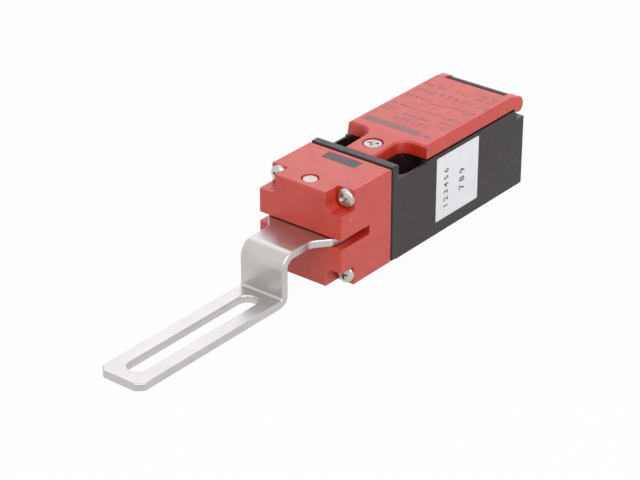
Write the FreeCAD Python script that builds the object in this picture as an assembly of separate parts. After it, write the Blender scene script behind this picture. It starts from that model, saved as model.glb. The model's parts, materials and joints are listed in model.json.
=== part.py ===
import FreeCAD, Part
import math
import os

# Safety hinge switch: a red head with a swinging lever on a black case with a hinged red cover.
# X runs across the width, Y along the length with the lever towards -Y, Z up from the mounting face.
# The origin lies on the mounting face, midway between the two fixing holes. Sizes are in millimetres.

V = FreeCAD.Vector
X_AXIS = V(1, 0, 0)
Y_AXIS = V(0, 1, 0)
Z_AXIS = V(0, 0, 1)
PAST = 1.0                      # how far a cutting solid runs past the face that it opens
CROSS_FLOOR = 0.45              # length of a cross recess at its floor, as a share of its mouth

# Overall
HALF_WIDTH = 15.0
HEIGHT = 30.0
JOINT_Y = -10.3                 # plane between the head and the case's flange
GASKET_THICK = 0.3
EDGE_BREAK = 0.3                # chamfer on the moulded edges
RUNNING_GAP = 0.06              # radial play of what turns or slides in a bore

# Head
HEAD_LENGTH = 23.55
HEAD_FRONT = JOINT_Y - HEAD_LENGTH
HEAD_BACK = JOINT_Y - GASKET_THICK / 2
NOTCH_WIDTH = 5.85
NOTCH_DEPTH = 6.0
NOTCH_HEIGHT = 6.0
SCREW_X = 12.1
NOTCH_ROUND = 2.2               # inner corner, round the screw's head
SCREW_Z = 3.0                   # height of the lower head screws, the upper ones mirror it
SCREW_R = 1.5
HEAD_SCREW_HEAD_R = 2.85
HEAD_SCREW_HEIGHT = 1.6
HEAD_SCREW_CROSS = (2.9, 0.8, 1.2)   # length, width and depth of the cross recess
SCREW_PLAY = 0.1                # radial play of a screw's shank in a plain hole
SEAT_Y = HEAD_FRONT + NOTCH_DEPTH
MID_Z = HEIGHT / 2
SLOT_HEIGHT = 2.9
SLOT_LOW = MID_Z - SLOT_HEIGHT / 2
SLOT_TOP = MID_Z + SLOT_HEIGHT / 2
PIVOT_Y = JOINT_Y - 18.8
SLOT_BACK = JOINT_Y - 10.5
HUB_R = 12.6
POCKET_REACH = 13.0             # from the pivot to each wall of the pocket for the cam end
POCKET_CORNER = 6.0             # bevel of its rear corners
PLUG_X = -0.2                   # middle of the window in the head's top
PLUG_HALF = 6.1
PLUG_FRONT = JOINT_Y - 6.0
PLUG_BACK = JOINT_Y - 2.05
PLUG_DEPTH = 4.0
PLUG_RECESS = 0.05
PLUG_BEVEL = 0.1
PASSAGE_PLAY = 0.5              # radial room round the pusher in the head
SHEET_INSET = 0.35              # how far the head's gasket stays inside the outline
SHEET_CLEAR = 0.4               # its room round a screw

# Spindle and lever
SPINDLE_R = 2.1
SPINDLE_END = 0.35              # how far its end lies under the head's top
SPINDLE_FOOT = 3.0              # floor of its blind bore
SPINDLE_LIFT = 0.1              # room under its foot
SPINDLE_MOUTH_R = 2.65
SPINDLE_MOUTH_DEPTH = 1.2
LEVER_THICK = 2.5
LEVER_HALF = 7.75
LEVER_TIP = JOINT_Y - 99.5
LEVER_CHAMFER = 2.0
ARM_BOTTOM = 0.05
PLATE_REST = 0.1                # room under the lever's plate in its slot
PLATE_TOP = SLOT_LOW + PLATE_REST + LEVER_THICK
RISER_FRONT = JOINT_Y - 40.8
UPPER_BEND_R = 2.5              # inside radii of the two bends
LOWER_BEND_R = 0.8
WAIST_Y = JOINT_Y - 28.3
WAIST_R = 3.5                   # the edge curves out from the arm to the flare
FLARE_Y = JOINT_Y - 23.6
ADJUST_HALF = 3.0
ADJUST_FRONT = JOINT_Y - 94.9
ADJUST_BACK = JOINT_Y - 44.1
CAM_NOTCH_DEPTH = 1.6
CAM_NOTCH_HALF = 3.4
CAM_NOTCH_FLOOR = 1.6

# Case
FLANGE_FRONT = JOINT_Y + GASKET_THICK / 2
FLANGE_BACK = JOINT_Y + 3.25
FLANGE_TOP = HEIGHT + 0.3       # the flange stands a little proud of the head
HOLE_SKIN = 0.5                 # what is left behind the blind holes of the head screws
TIP_ROOM = 0.3                  # room between a screw's tip and the end of its hole
CASE_REAR = JOINT_Y + 67.3
RIM_Z = 26.15
REAR_ROUND = 0.3
WALL = 2.3
FLOOR = 4.0
CHAMBER_FRONT = 9.5
CHAMBER_REAR = 47.5
CHAMBER_ROUND = 1.5
FIX_X = 10.0
FIX_R = 2.15
WELL_R = 4.2
WELL_FRONT = -5.95
WELL_BACK = 8.0                 # the rear end lies under the cover
WELL_FLOOR = 10.0
SHOULDER_BACK = 6.2
SHOULDER_Z = 25.65              # top of the case beside the wells
ENTRY_R = 7.2
ENTRY_Z = 12.0
LEDGE_Z = 22.7
LEDGE_FRONT = JOINT_Y + 63.4

# Cover and its hinge
HINGE_Y = JOINT_Y + 64.55
HINGE_Z = 27.35
BARREL_R = 2.2
BARREL_HALF = 10.85
STUB_R = 1.2
STUB_LENGTH = 2.2
KNUCKLE_R = 2.45
KNUCKLE_INNER = 11.3
HINGE_CLEAR = 0.3               # room round what turns in the hinge
COVER_HALF = 14.6               # half width at the lower edge
COVER_LOW = 26.55
COVER_TOP = 30.5
COVER_DRAFT = 0.3               # how much smaller the outline is at the top
TONGUE_HALF = 5.6
TONGUE_FRONT = -6.85
TONGUE_BEND = 8.0               # the top falls from here to the tongue's end
TONGUE_DROP = 0.7
PLATE_FRONT = 6.8
COVE_R = 3.6
COVER_EDGE_BREAK = 0.5
CUTOUT_Y = JOINT_Y + 61.1
ARM_RUN = HINGE_Y - CUTOUT_Y
ARM_RISE = COVER_TOP - HINGE_Z
ARM_FALL = math.atan2(ARM_RISE, ARM_RUN) - math.asin(KNUCKLE_R / math.hypot(ARM_RISE, ARM_RUN))
COVER_SKIN = 1.9
SEAL_OUTER_X = 13.8
SEAL_FRONT = 7.8
SEAL_REAR = 49.4
SEAL_WIDTH = 1.1
SEAL_GROOVE = 0.6
SEAL_GAP = 0.05
SEAL_RIB = 0.7                  # wall between the seal's groove and the cover's hollow
COVER_SCREW_Y = 0.1
COVER_SCREW_HEAD_R = 2.75
COVER_SCREW_CROSS = (3.4, 0.9, 1.2)
COVER_SCREW_SEAT = 28.5
COVER_SCREW_TIP = 22.6
COUNTERBORE_R = 3.15
INSERT_R = 2.5
INSERT_LOW = 21.5
INSERT_TOP = 25.9

# Pusher and contact block
PUSHER_R = 2.5
NOSE_GAP = 0.3
PUSHER_NOSE = PIVOT_Y + HUB_R + NOSE_GAP
NOSE_HALF = 0.7
SEAL_RING_R = 5.5
SEAL_RING_LENGTH = 2.0
BLOCK_HALF = 11.8
BLOCK_FRONT = 10.3
BLOCK_REAR = 39.6
PLATE_Z = 7.0                   # top of the block's base plate
BANK_INNER = 5.0
BANK_FRONT = 10.8
BANK_REAR = 32.0
BANK_Z = 16.0
END_WALL = 1.5
POCKET_DEPTH = 6.0              # square pocket that takes the tip of a terminal screw
POLES = [18.0, 27.0]
MAKING_POLE = POLES[1]          # the pole that closes when the pusher goes in
BARRIER_THICK = 0.9
BARRIER_Z = 21.0
STRIP_THICK = 0.8
STRIP_HALF = 2.4
STRIP_INSET = 0.6               # from the bank's inner edge to a strip
STRIP_MARGIN = 0.4              # from a strip to the bank's outer edge
CLAMP_HALF = 2.2
TIP_Z = 19.8
BRIDGE_HALF = 7.2
BRIDGE_THICK = 1.0
BRIDGE_LOW = 17.4
BRIDGE_TOP = 20.0
CONTACT_GAP = 0.05
BREAK_GAP = 1.75
LEAF_THICK = 0.3
LEAF_HALF = 3.0
LEAF_BOW = 1.9
LEAF_GAP = 0.02
LEAF_MARGIN = 0.3               # how much lower than the bar a leaf is, above and below
WINDOW_PLAY = 0.1
WINDOW_MARGIN = 0.2             # room over and under a bar in its window
CARRIER_FRONT = 12.0
CARRIER_REAR = 31.0
CARRIER_HALF = 4.6
CARRIER_LOW = 7.4
CARRIER_TOP = 21.2
CARRIER_BEVEL = 0.5
TERMINAL_X = 9.6
TERMINAL_HEAD_R = 1.8
TERMINAL_LENGTH = 7.0
TERMINAL_ROOM = 0.5             # from a moving bar's end to what stands beside the screw
BASE_SCREW_Y = 37.3
BASE_SCREW_HEAD_R = 2.2
SMALL_SHANK_R = 1.25
SMALL_HEAD_HEIGHT = 1.6
DRIVE_SLOT_HALF = 0.3
DRIVE_SLOT_DEPTH = 0.7
SPRING_Z = 11.6
SPRING_R = 2.3
SPRING_WIRE_R = 0.35
SPRING_ROOM = 0.8               # radial room round the coil's middle line
SPRING_FRONT = 23.0
SPRING_REAR = 33.5
SPRING_TURNS = 4
SPRING_CHORDS = 14              # straight chords in one turn


# Helpers

def box(x0, x1, y0, y1, z0, z1):
    return Part.makeBox(x1 - x0, y1 - y0, z1 - z0, V(x0, y0, z0))


def rod_x(y, z, x0, x1, r):
    return Part.makeCylinder(r, x1 - x0, V(x0, y, z), X_AXIS)


def rod_y(x, z, y0, y1, r):
    return Part.makeCylinder(r, y1 - y0, V(x, y0, z), Y_AXIS)


def rod_z(x, y, z0, z1, r):
    return Part.makeCylinder(r, z1 - z0, V(x, y, z0), Z_AXIS)


def both_sides(shape):
    """The shape and its mirror image across the middle plane."""
    return [shape, shape.mirror(V(0, 0, 0), X_AXIS)]


def line(a, b):
    return Part.makeLine(a, b)


def arc(a, middle, b):
    return Part.Arc(a, middle, b).toShape()


def prism(edges, direction):
    return Part.Face(Part.Wire(edges)).extrude(direction)


def slot_z(x, y0, y1, r, z0, z1):
    """A prism along Z whose outline is a slot with round ends, lying along Y."""
    low = y0 + r
    high = y1 - r
    edges = [
        line(V(x + r, low, z0), V(x + r, high, z0)),
        arc(V(x + r, high, z0), V(x, y1, z0), V(x - r, high, z0)),
        line(V(x - r, high, z0), V(x - r, low, z0)),
        arc(V(x - r, low, z0), V(x, y0, z0), V(x + r, low, z0)),
    ]
    return prism(edges, V(0, 0, z1 - z0))


def chosen(shape, wanted):
    """The edges that pass the test, which gets an edge's box and its middle point."""
    return [e for e in shape.Edges if wanted(e.BoundBox, e.CenterOfMass)]


def rounded(shape, radius, wanted):
    return shape.makeFillet(radius, chosen(shape, wanted))


def bevelled(shape, size, wanted):
    return shape.makeChamfer(size, chosen(shape, wanted))


def polygon(points):
    """Closed loop of straight edges."""
    return [line(points[i - 1], points[i]) for i in range(len(points))]


def along_z(bound):
    return bound.XLength < 1e-6 and bound.YLength < 1e-6


def along_y(bound):
    return bound.XLength < 1e-6 and bound.ZLength < 1e-6


def cross_recess(length, width, depth):
    """Two crossed bars with sloping ends, opening at z = 0 and pointing down."""
    half = length / 2
    floor = half * CROSS_FLOOR
    profile = [V(-half, 0, PAST / 2), V(half, 0, PAST / 2), V(floor, 0, -depth), V(-floor, 0, -depth)]
    bar = prism(polygon(profile), V(0, width, 0))
    bar.translate(V(0, -width / 2, 0))
    other = bar.copy()
    other.rotate(V(0, 0, 0), Z_AXIS, 90)
    return bar.fuse(other)


def slot_recess(head_r):
    reach = head_r + PAST
    return box(-reach, reach, -DRIVE_SLOT_HALF, DRIVE_SLOT_HALF, -DRIVE_SLOT_DEPTH, PAST)


def screw(head_r, head_height, shank_r, shank_length, recess):
    """A screw on the Z axis: its head stands on z = 0 and its shank hangs below."""
    profile = [
        V(0, 0, -shank_length),
        V(shank_r, 0, -shank_length),
        V(shank_r, 0, 0),
        V(head_r, 0, 0),
        V(head_r, 0, head_height),
        V(0, 0, head_height),
    ]
    blank = Part.Face(Part.Wire(polygon(profile))).revolve(V(0, 0, 0), Z_AXIS, 360)
    cutter = recess.copy()
    cutter.translate(V(0, 0, head_height))
    return blank.cut(cutter)


def placed(shape, x, y, z):
    copy = shape.copy()
    copy.translate(V(x, y, z))
    return copy


def save(node, solids):
    shape = solids[0] if len(solids) == 1 else Part.makeCompound(solids)
    shape.exportStep("parts/%s.step" % node)


# Head

def head_screw_places():
    return [(x, z) for x in (-SCREW_X, SCREW_X) for z in (SCREW_Z, HEIGHT - SCREW_Z)]


def head_screw_holes(y0, y1, r):
    return [rod_y(x, z, y0, y1, r) for x, z in head_screw_places()]


def corner_notch():
    """Cutting solid for the upper right notch, with its inner edge rounded."""
    inner = HALF_WIDTH - NOTCH_WIDTH
    low = HEIGHT - NOTCH_HEIGHT
    tool = box(inner, HALF_WIDTH + PAST, HEAD_FRONT - PAST, SEAT_Y, low, HEIGHT + PAST)
    return rounded(tool, NOTCH_ROUND, lambda b, c: along_y(b) and c.x < inner + 1e-6 and c.z < low + 1e-6)


def plug_block(top):
    """The block that fills the window in the head's top, up to some height."""
    left = PLUG_X - PLUG_HALF
    right = PLUG_X + PLUG_HALF
    return box(left, right, PLUG_FRONT, PLUG_BACK, HEIGHT - PLUG_DEPTH, top)


def lever_slot():
    """Cutting solid for the slot, with a pocket behind it whose walls stand round the lever's cam end."""
    slot = box(-HALF_WIDTH - PAST, HALF_WIDTH + PAST, HEAD_FRONT - PAST, SLOT_BACK, SLOT_LOW, SLOT_TOP)
    front = SLOT_BACK - PAST
    back = PIVOT_Y + POCKET_REACH
    narrow = POCKET_REACH - POCKET_CORNER
    corners = [
        V(-POCKET_REACH, front, SLOT_LOW),
        V(POCKET_REACH, front, SLOT_LOW),
        V(POCKET_REACH, back - POCKET_CORNER, SLOT_LOW),
        V(narrow, back, SLOT_LOW),
        V(-narrow, back, SLOT_LOW),
        V(-POCKET_REACH, back - POCKET_CORNER, SLOT_LOW),
    ]
    pocket = prism(polygon(corners), V(0, 0, SLOT_HEIGHT))
    return slot.fuse(pocket).removeSplitter()


def make_head_case():
    head = box(-HALF_WIDTH, HALF_WIDTH, HEAD_FRONT, HEAD_BACK, 0, HEIGHT)
    head = head.makeChamfer(EDGE_BREAK, head.Edges)
    upper = corner_notch()
    lower = upper.mirror(V(0, 0, MID_Z), Z_AXIS)
    bore = rod_z(0, PIVOT_Y, SPINDLE_FOOT, HEIGHT, SPINDLE_R + RUNNING_GAP)
    mouth = rod_z(0, PIVOT_Y, HEIGHT - SPINDLE_MOUTH_DEPTH, HEIGHT + PAST, SPINDLE_MOUTH_R)
    passage = rod_y(0, MID_Z, PIVOT_Y, HEAD_BACK + PAST, PUSHER_R + PASSAGE_PLAY)
    window = plug_block(HEIGHT + PAST)
    holes = head_screw_holes(SEAT_Y - PAST, HEAD_BACK + PAST, SCREW_R + SCREW_PLAY)
    cuts = both_sides(upper) + both_sides(lower) + holes
    return head.cut(cuts + [lever_slot(), bore, mouth, passage, window])


def make_blanking_plug():
    top = HEIGHT - PLUG_RECESS
    return bevelled(plug_block(top), PLUG_BEVEL, lambda b, c: c.z > top - 1e-6)


def make_head_screws():
    length = FLANGE_BACK - HOLE_SKIN - TIP_ROOM - SEAT_Y
    recess = cross_recess(*HEAD_SCREW_CROSS)
    blank = screw(HEAD_SCREW_HEAD_R, HEAD_SCREW_HEIGHT, SCREW_R, length, recess)
    blank.rotate(V(0, 0, 0), X_AXIS, 90)
    return [placed(blank, x, SEAT_Y, z) for x, z in head_screw_places()]


def make_head_gasket():
    """Thin sheet with its corners cut out round the screws and a window round the pusher's seal."""
    half = HALF_WIDTH - SHEET_INSET
    sheet = box(-half, half, HEAD_BACK, FLANGE_FRONT, SHEET_INSET, HEIGHT - SHEET_INSET)
    corner = SCREW_X - SCREW_R - SHEET_CLEAR
    low = HEIGHT - SCREW_Z - SCREW_R - SHEET_CLEAR
    upper = box(corner, HALF_WIDTH, HEAD_BACK - PAST, FLANGE_FRONT + PAST, low, HEIGHT)
    lower = upper.mirror(V(0, 0, MID_Z), Z_AXIS)
    reach = SEAL_RING_R
    window = box(-reach, reach, HEAD_BACK - PAST, FLANGE_FRONT + PAST, MID_Z - reach, MID_Z + reach)
    return sheet.cut(both_sides(upper) + both_sides(lower) + [window])


# Spindle and lever

def make_spindle():
    return rod_z(0, PIVOT_Y, SPINDLE_FOOT + SPINDLE_LIFT, HEIGHT - SPINDLE_END, SPINDLE_R)


def lever_side_profile():
    """The bent strip seen from the side, swept across the full width."""
    t = LEVER_THICK
    riser_back = RISER_FRONT + t
    low_c = V(0, RISER_FRONT - LOWER_BEND_R, ARM_BOTTOM + t + LOWER_BEND_R)
    up_c = V(0, riser_back + UPPER_BEND_R, PLATE_TOP - t - UPPER_BEND_R)
    slant = math.sqrt(0.5)

    def at(centre, y, z):
        return V(-HALF_WIDTH, centre.y + y, centre.z + z)

    low_in = LOWER_BEND_R
    low_out = LOWER_BEND_R + t
    up_in = UPPER_BEND_R
    up_out = UPPER_BEND_R + t
    tip_low = V(-HALF_WIDTH, LEVER_TIP, ARM_BOTTOM)
    tip_top = V(-HALF_WIDTH, LEVER_TIP, ARM_BOTTOM + t)
    end_low = V(-HALF_WIDTH, PIVOT_Y + HUB_R + PAST, PLATE_TOP - t)
    end_top = V(-HALF_WIDTH, PIVOT_Y + HUB_R + PAST, PLATE_TOP)
    edges = [
        line(tip_low, at(low_c, 0, -low_out)),
        arc(at(low_c, 0, -low_out), at(low_c, low_out * slant, -low_out * slant), at(low_c, low_out, 0)),
        line(at(low_c, low_out, 0), at(up_c, -up_in, 0)),
        arc(at(up_c, -up_in, 0), at(up_c, -up_in * slant, up_in * slant), at(up_c, 0, up_in)),
        line(at(up_c, 0, up_in), end_low),
        line(end_low, end_top),
        line(end_top, at(up_c, 0, up_out)),
        arc(at(up_c, 0, up_out), at(up_c, -up_out * slant, up_out * slant), at(up_c, -up_out, 0)),
        line(at(up_c, -up_out, 0), at(low_c, low_in, 0)),
        arc(at(low_c, low_in, 0), at(low_c, low_in * slant, -low_in * slant), at(low_c, 0, -low_in)),
        line(at(low_c, 0, -low_in), tip_top),
        line(tip_top, tip_low),
    ]
    return prism(edges, V(2 * HALF_WIDTH, 0, 0))


def lever_plan():
    """The lever's outline seen from above: arm, waist, flare and round cam end."""
    flare_x = math.sqrt(HUB_R ** 2 - (FLARE_Y - PIVOT_Y) ** 2)
    right = [
        V(LEVER_HALF - LEVER_CHAMFER, LEVER_TIP, 0),
        V(LEVER_HALF, LEVER_TIP + LEVER_CHAMFER, 0),
        V(LEVER_HALF, WAIST_Y, 0),
        V(flare_x, FLARE_Y, 0),
    ]
    left = [V(-p.x, p.y, 0) for p in reversed(right)]
    edges = [line(a, b) for a, b in zip(right, right[1:])]
    edges.append(arc(right[-1], V(0, PIVOT_Y + HUB_R, 0), left[0]))
    edges += [line(a, b) for a, b in zip(left, left[1:])]
    edges.append(line(left[-1], right[0]))
    plan = prism(edges, V(0, 0, HEIGHT))
    return rounded(plan, WAIST_R, lambda b, c: along_z(b) and abs(c.y - WAIST_Y) < 1e-6)


def cam_notch():
    """The dip in the cam end in which the pusher's nose rests."""
    back = PIVOT_Y + HUB_R
    corners = [
        V(-CAM_NOTCH_HALF, back + PAST, 0),
        V(CAM_NOTCH_HALF, back + PAST, 0),
        V(CAM_NOTCH_FLOOR, back - CAM_NOTCH_DEPTH, 0),
        V(-CAM_NOTCH_FLOOR, back - CAM_NOTCH_DEPTH, 0),
    ]
    return prism(polygon(corners), V(0, 0, HEIGHT))


def make_lever():
    blank = lever_side_profile().common(lever_plan())
    adjusting_slot = slot_z(0, ADJUST_FRONT, ADJUST_BACK, ADJUST_HALF, -PAST, ARM_BOTTOM + LEVER_THICK + PAST)
    spindle_hole = rod_z(0, PIVOT_Y, SLOT_LOW, SLOT_TOP, SPINDLE_R)
    return blank.cut([adjusting_slot, spindle_hole, cam_notch()])


# Case

def well_cuts():
    """Right-hand fixing well, its screw hole and the lowered shoulder round it."""
    inner = FIX_X - WELL_R
    shoulder = box(inner, HALF_WIDTH + PAST, FLANGE_BACK, SHOULDER_BACK, SHOULDER_Z, HEIGHT)
    well = slot_z(FIX_X, WELL_FRONT, WELL_BACK, WELL_R, WELL_FLOOR, HEIGHT)
    hole = rod_z(FIX_X, 0, -PAST, WELL_FLOOR + PAST, FIX_R)
    return [shoulder, well, hole]


def hinge_cuts():
    """Right-hand step at the rear corner that lets the cover's knuckle turn."""
    ledge = box(BARREL_HALF, HALF_WIDTH + PAST, LEDGE_FRONT, CASE_REAR + PAST, LEDGE_Z, HEIGHT)
    relief = rod_x(HINGE_Y, HINGE_Z, BARREL_HALF, HALF_WIDTH + PAST, KNUCKLE_R + HINGE_CLEAR)
    return [ledge, relief]


def hinge_barrel():
    """Barrel on the rear wall with a stub at each end for the cover's knuckles."""
    foot = box(-BARREL_HALF, BARREL_HALF, HINGE_Y - BARREL_R, HINGE_Y + BARREL_R, RIM_Z - PAST, HINGE_Z)
    barrel = rod_x(HINGE_Y, HINGE_Z, -BARREL_HALF, BARREL_HALF, BARREL_R)
    reach = BARREL_HALF + STUB_LENGTH
    stubs = rod_x(HINGE_Y, HINGE_Z, -reach, reach, STUB_R)
    return [foot, barrel, stubs]


def make_body_case():
    flange = box(-HALF_WIDTH, HALF_WIDTH, FLANGE_FRONT, FLANGE_BACK, 0, FLANGE_TOP)
    flange = flange.makeChamfer(EDGE_BREAK, flange.Edges)
    case = box(-HALF_WIDTH, HALF_WIDTH, FLANGE_BACK - PAST, CASE_REAR, 0, RIM_Z)
    case = rounded(case, REAR_ROUND, lambda b, c: along_z(b) and c.y > CASE_REAR - 1e-6)
    chamber_half = HALF_WIDTH - WALL
    chamber = box(-chamber_half, chamber_half, CHAMBER_FRONT, CHAMBER_REAR, FLOOR, HEIGHT + PAST)
    chamber = rounded(chamber, CHAMBER_ROUND, lambda b, c: along_z(b))
    entry = rod_y(0, ENTRY_Z, CHAMBER_REAR - PAST, CASE_REAR + PAST, ENTRY_R)
    guide = rod_y(0, MID_Z, FLANGE_FRONT - PAST, CHAMBER_FRONT + PAST, PUSHER_R + RUNNING_GAP)
    seal_seat = rod_y(0, MID_Z, FLANGE_FRONT - PAST, FLANGE_FRONT + SEAL_RING_LENGTH, SEAL_RING_R)
    insert_seat = rod_z(0, COVER_SCREW_Y, INSERT_LOW, HEIGHT, INSERT_R)
    head_holes = head_screw_holes(FLANGE_FRONT - PAST, FLANGE_BACK - HOLE_SKIN, SCREW_R)
    base_hole = rod_z(0, BASE_SCREW_Y, PAST, FLOOR + PAST, SMALL_SHANK_R)
    cuts = [s for cut in well_cuts() + hinge_cuts() for s in both_sides(cut)]
    cuts += [chamber, entry, guide, seal_seat, insert_seat, base_hole]
    shell = case.cut(cuts + head_holes)
    front = flange.cut([guide, seal_seat] + head_holes)
    return shell.fuse([front] + hinge_barrel()).removeSplitter()


def make_pusher_seal():
    ring = rod_y(0, MID_Z, FLANGE_FRONT, FLANGE_FRONT + SEAL_RING_LENGTH, SEAL_RING_R)
    return ring.cut(rod_y(0, MID_Z, FLANGE_FRONT - PAST, FLANGE_BACK, PUSHER_R + RUNNING_GAP))


def make_screw_insert():
    sleeve = rod_z(0, COVER_SCREW_Y, INSERT_LOW, INSERT_TOP, INSERT_R)
    return sleeve.cut(rod_z(0, COVER_SCREW_Y, INSERT_LOW - PAST, INSERT_TOP + PAST, SCREW_R + SCREW_PLAY))


# Cover

def leaning(start, run, height):
    """Where a drafted wall stands at some height above the cover's lower edge."""
    return start + run * height / (COVER_TOP - COVER_LOW)


def well_window():
    """Right-hand cutting solid that leaves the tongue and the cove beside it, all walls drafted."""
    low = -PAST
    high = COVER_TOP - COVER_LOW + PAST
    far = HALF_WIDTH + PAST
    front = TONGUE_FRONT - PAST
    cove_x = TONGUE_HALF + COVE_R
    cove_y = PLATE_FRONT - COVE_R
    z_low = COVER_LOW + low
    z_high = COVER_LOW + high
    beside_tongue = [
        V(leaning(TONGUE_HALF, -COVER_DRAFT, low), front, z_low),
        V(leaning(TONGUE_HALF, -COVER_DRAFT, high), front, z_high),
        V(far, front, z_high),
        V(far, front, z_low),
    ]
    before_plate = [
        V(cove_x, leaning(PLATE_FRONT, COVER_DRAFT, low), z_low),
        V(cove_x, leaning(PLATE_FRONT, COVER_DRAFT, high), z_high),
        V(cove_x, front, z_high),
        V(cove_x, front, z_low),
    ]
    side = prism(polygon(beside_tongue), V(0, cove_y - front, 0))
    face = prism(polygon(before_plate), V(far - cove_x, 0, 0))
    low_r = leaning(COVE_R, COVER_DRAFT, low)
    high_r = leaning(COVE_R, COVER_DRAFT, high)
    cove = Part.makeCone(low_r, high_r, high - low, V(cove_x, cove_y, z_low), Z_AXIS)
    return side.fuse([face, cove])


def top_height(y):
    """Height of the cover's top: level over the plate, falling along the tongue and the hinge's arms."""
    if y < TONGUE_BEND:
        return COVER_TOP - TONGUE_DROP * (TONGUE_BEND - y) / (TONGUE_BEND - TONGUE_FRONT)
    return COVER_TOP - max(y - CUTOUT_Y, 0) * math.tan(ARM_FALL)


def wedge_above(start, end):
    """Cutting solid over a falling part of the top, from where it starts to past its end."""
    corners = [
        V(-HALF_WIDTH, start, COVER_TOP),
        V(-HALF_WIDTH, end, top_height(end)),
        V(-HALF_WIDTH, end, COVER_TOP + PAST),
    ]
    return prism(polygon(corners), V(2 * HALF_WIDTH, 0, 0))


def leaning_block(low, high, rear):
    """Block as wide as the cover, with side walls that lean in towards the top."""
    lean = COVER_DRAFT / (COVER_TOP - COVER_LOW)
    low_half = COVER_HALF - lean * (low - COVER_LOW)
    high_half = COVER_HALF - lean * (high - COVER_LOW)
    section = [
        V(-low_half, TONGUE_FRONT, low),
        V(low_half, TONGUE_FRONT, low),
        V(high_half, TONGUE_FRONT, high),
        V(-high_half, TONGUE_FRONT, high),
    ]
    return prism(polygon(section), V(0, rear - TONGUE_FRONT, 0))


def drafted_plate():
    """The cover's outline, with its top falling at both ends."""
    rear = HINGE_Y + KNUCKLE_R * math.sin(ARM_FALL)
    plate = leaning_block(COVER_LOW, COVER_TOP, rear)
    wedges = [wedge_above(TONGUE_BEND, TONGUE_FRONT - PAST), wedge_above(CUTOUT_Y, rear + PAST)]
    return plate.cut(both_sides(well_window()) + wedges)


def on_top(bound, centre):
    """Tells the edges round the cover's top from its creases and from the knuckles' end."""
    level = abs(centre.z - top_height(centre.y)) < 0.02
    return level and bound.XLength < COVER_HALF and centre.y < HINGE_Y


def seal_ring(low, high):
    """The rectangular ring that the cover's gasket fills."""
    outer = box(-SEAL_OUTER_X, SEAL_OUTER_X, SEAL_FRONT, SEAL_REAR, low, high)
    inner_x = SEAL_OUTER_X - SEAL_WIDTH
    return outer.cut(box(-inner_x, inner_x, SEAL_FRONT + SEAL_WIDTH, SEAL_REAR - SEAL_WIDTH, low, high))


def make_cover():
    plate = drafted_plate()
    plate = bevelled(plate, COVER_EDGE_BREAK, on_top)
    knuckle = rod_x(HINGE_Y, HINGE_Z, KNUCKLE_INNER, HALF_WIDTH, KNUCKLE_R)
    knuckle = knuckle.common(leaning_block(COVER_LOW - KNUCKLE_R, COVER_TOP, CASE_REAR))
    socket_end = BARREL_HALF + STUB_LENGTH + HINGE_CLEAR
    socket = rod_x(HINGE_Y, HINGE_Z, KNUCKLE_INNER - PAST, socket_end, STUB_R + RUNNING_GAP)
    cutout = box(-KNUCKLE_INNER, KNUCKLE_INNER, CUTOUT_Y, CASE_REAR, COVER_LOW - PAST, COVER_TOP + PAST)
    inset = SEAL_WIDTH + SEAL_RIB
    inner_x = SEAL_OUTER_X - inset
    inner_front = SEAL_FRONT + inset
    inner_rear = SEAL_REAR - inset
    hollow = box(-inner_x, inner_x, inner_front, inner_rear, COVER_LOW - PAST, COVER_TOP - COVER_SKIN)
    groove = seal_ring(COVER_LOW - PAST, COVER_LOW + SEAL_GROOVE)
    counterbore = rod_z(0, COVER_SCREW_Y, COVER_SCREW_SEAT, COVER_TOP + PAST, COUNTERBORE_R)
    clearance = rod_z(0, COVER_SCREW_Y, COVER_LOW - PAST, COVER_SCREW_SEAT + PAST, SCREW_R + 2 * SCREW_PLAY)
    plate = plate.cut([cutout, hollow, groove, counterbore, clearance])
    return plate.fuse(both_sides(knuckle)).cut(both_sides(socket)).removeSplitter()


def make_cover_gasket():
    return seal_ring(RIM_Z + SEAL_GAP, COVER_LOW + SEAL_GROOVE)


def make_cover_screw():
    height = top_height(COVER_SCREW_Y) - COVER_SCREW_SEAT
    length = COVER_SCREW_SEAT - COVER_SCREW_TIP
    blank = screw(COVER_SCREW_HEAD_R, height, SCREW_R, length, cross_recess(*COVER_SCREW_CROSS))
    return placed(blank, 0, COVER_SCREW_Y, COVER_SCREW_SEAT)


# Pusher and contact block

def make_pusher():
    """Round rod with a chisel nose that fits the dip in the lever's cam end."""
    rod = rod_y(0, MID_Z, PUSHER_NOSE, CARRIER_FRONT, PUSHER_R)
    flank = [
        V(NOSE_HALF, PUSHER_NOSE, 0),
        V(PUSHER_R + PAST, PUSHER_NOSE, 0),
        V(PUSHER_R + PAST, PUSHER_NOSE + PUSHER_R + PAST - NOSE_HALF, 0),
    ]
    return rod.cut(both_sides(prism(polygon(flank), V(0, 0, HEIGHT))))


def bridge_front(pole):
    """Where the moving bar's front face stands at rest: on its contacts, or a gap short of them."""
    if pole == MAKING_POLE:
        return pole + STRIP_HALF - STRIP_THICK - BREAK_GAP - BRIDGE_THICK
    return pole - STRIP_HALF + STRIP_THICK + CONTACT_GAP


def window_span(pole):
    """Front and back of the carrier's window for one pole: the bar and its spring fill it."""
    front = bridge_front(pole)
    back = front + BRIDGE_THICK
    spring_room = LEAF_BOW + LEAF_THICK + WINDOW_PLAY
    if pole == MAKING_POLE:
        return front - spring_room, back + WINDOW_PLAY
    return front - WINDOW_PLAY, back + spring_room


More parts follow.
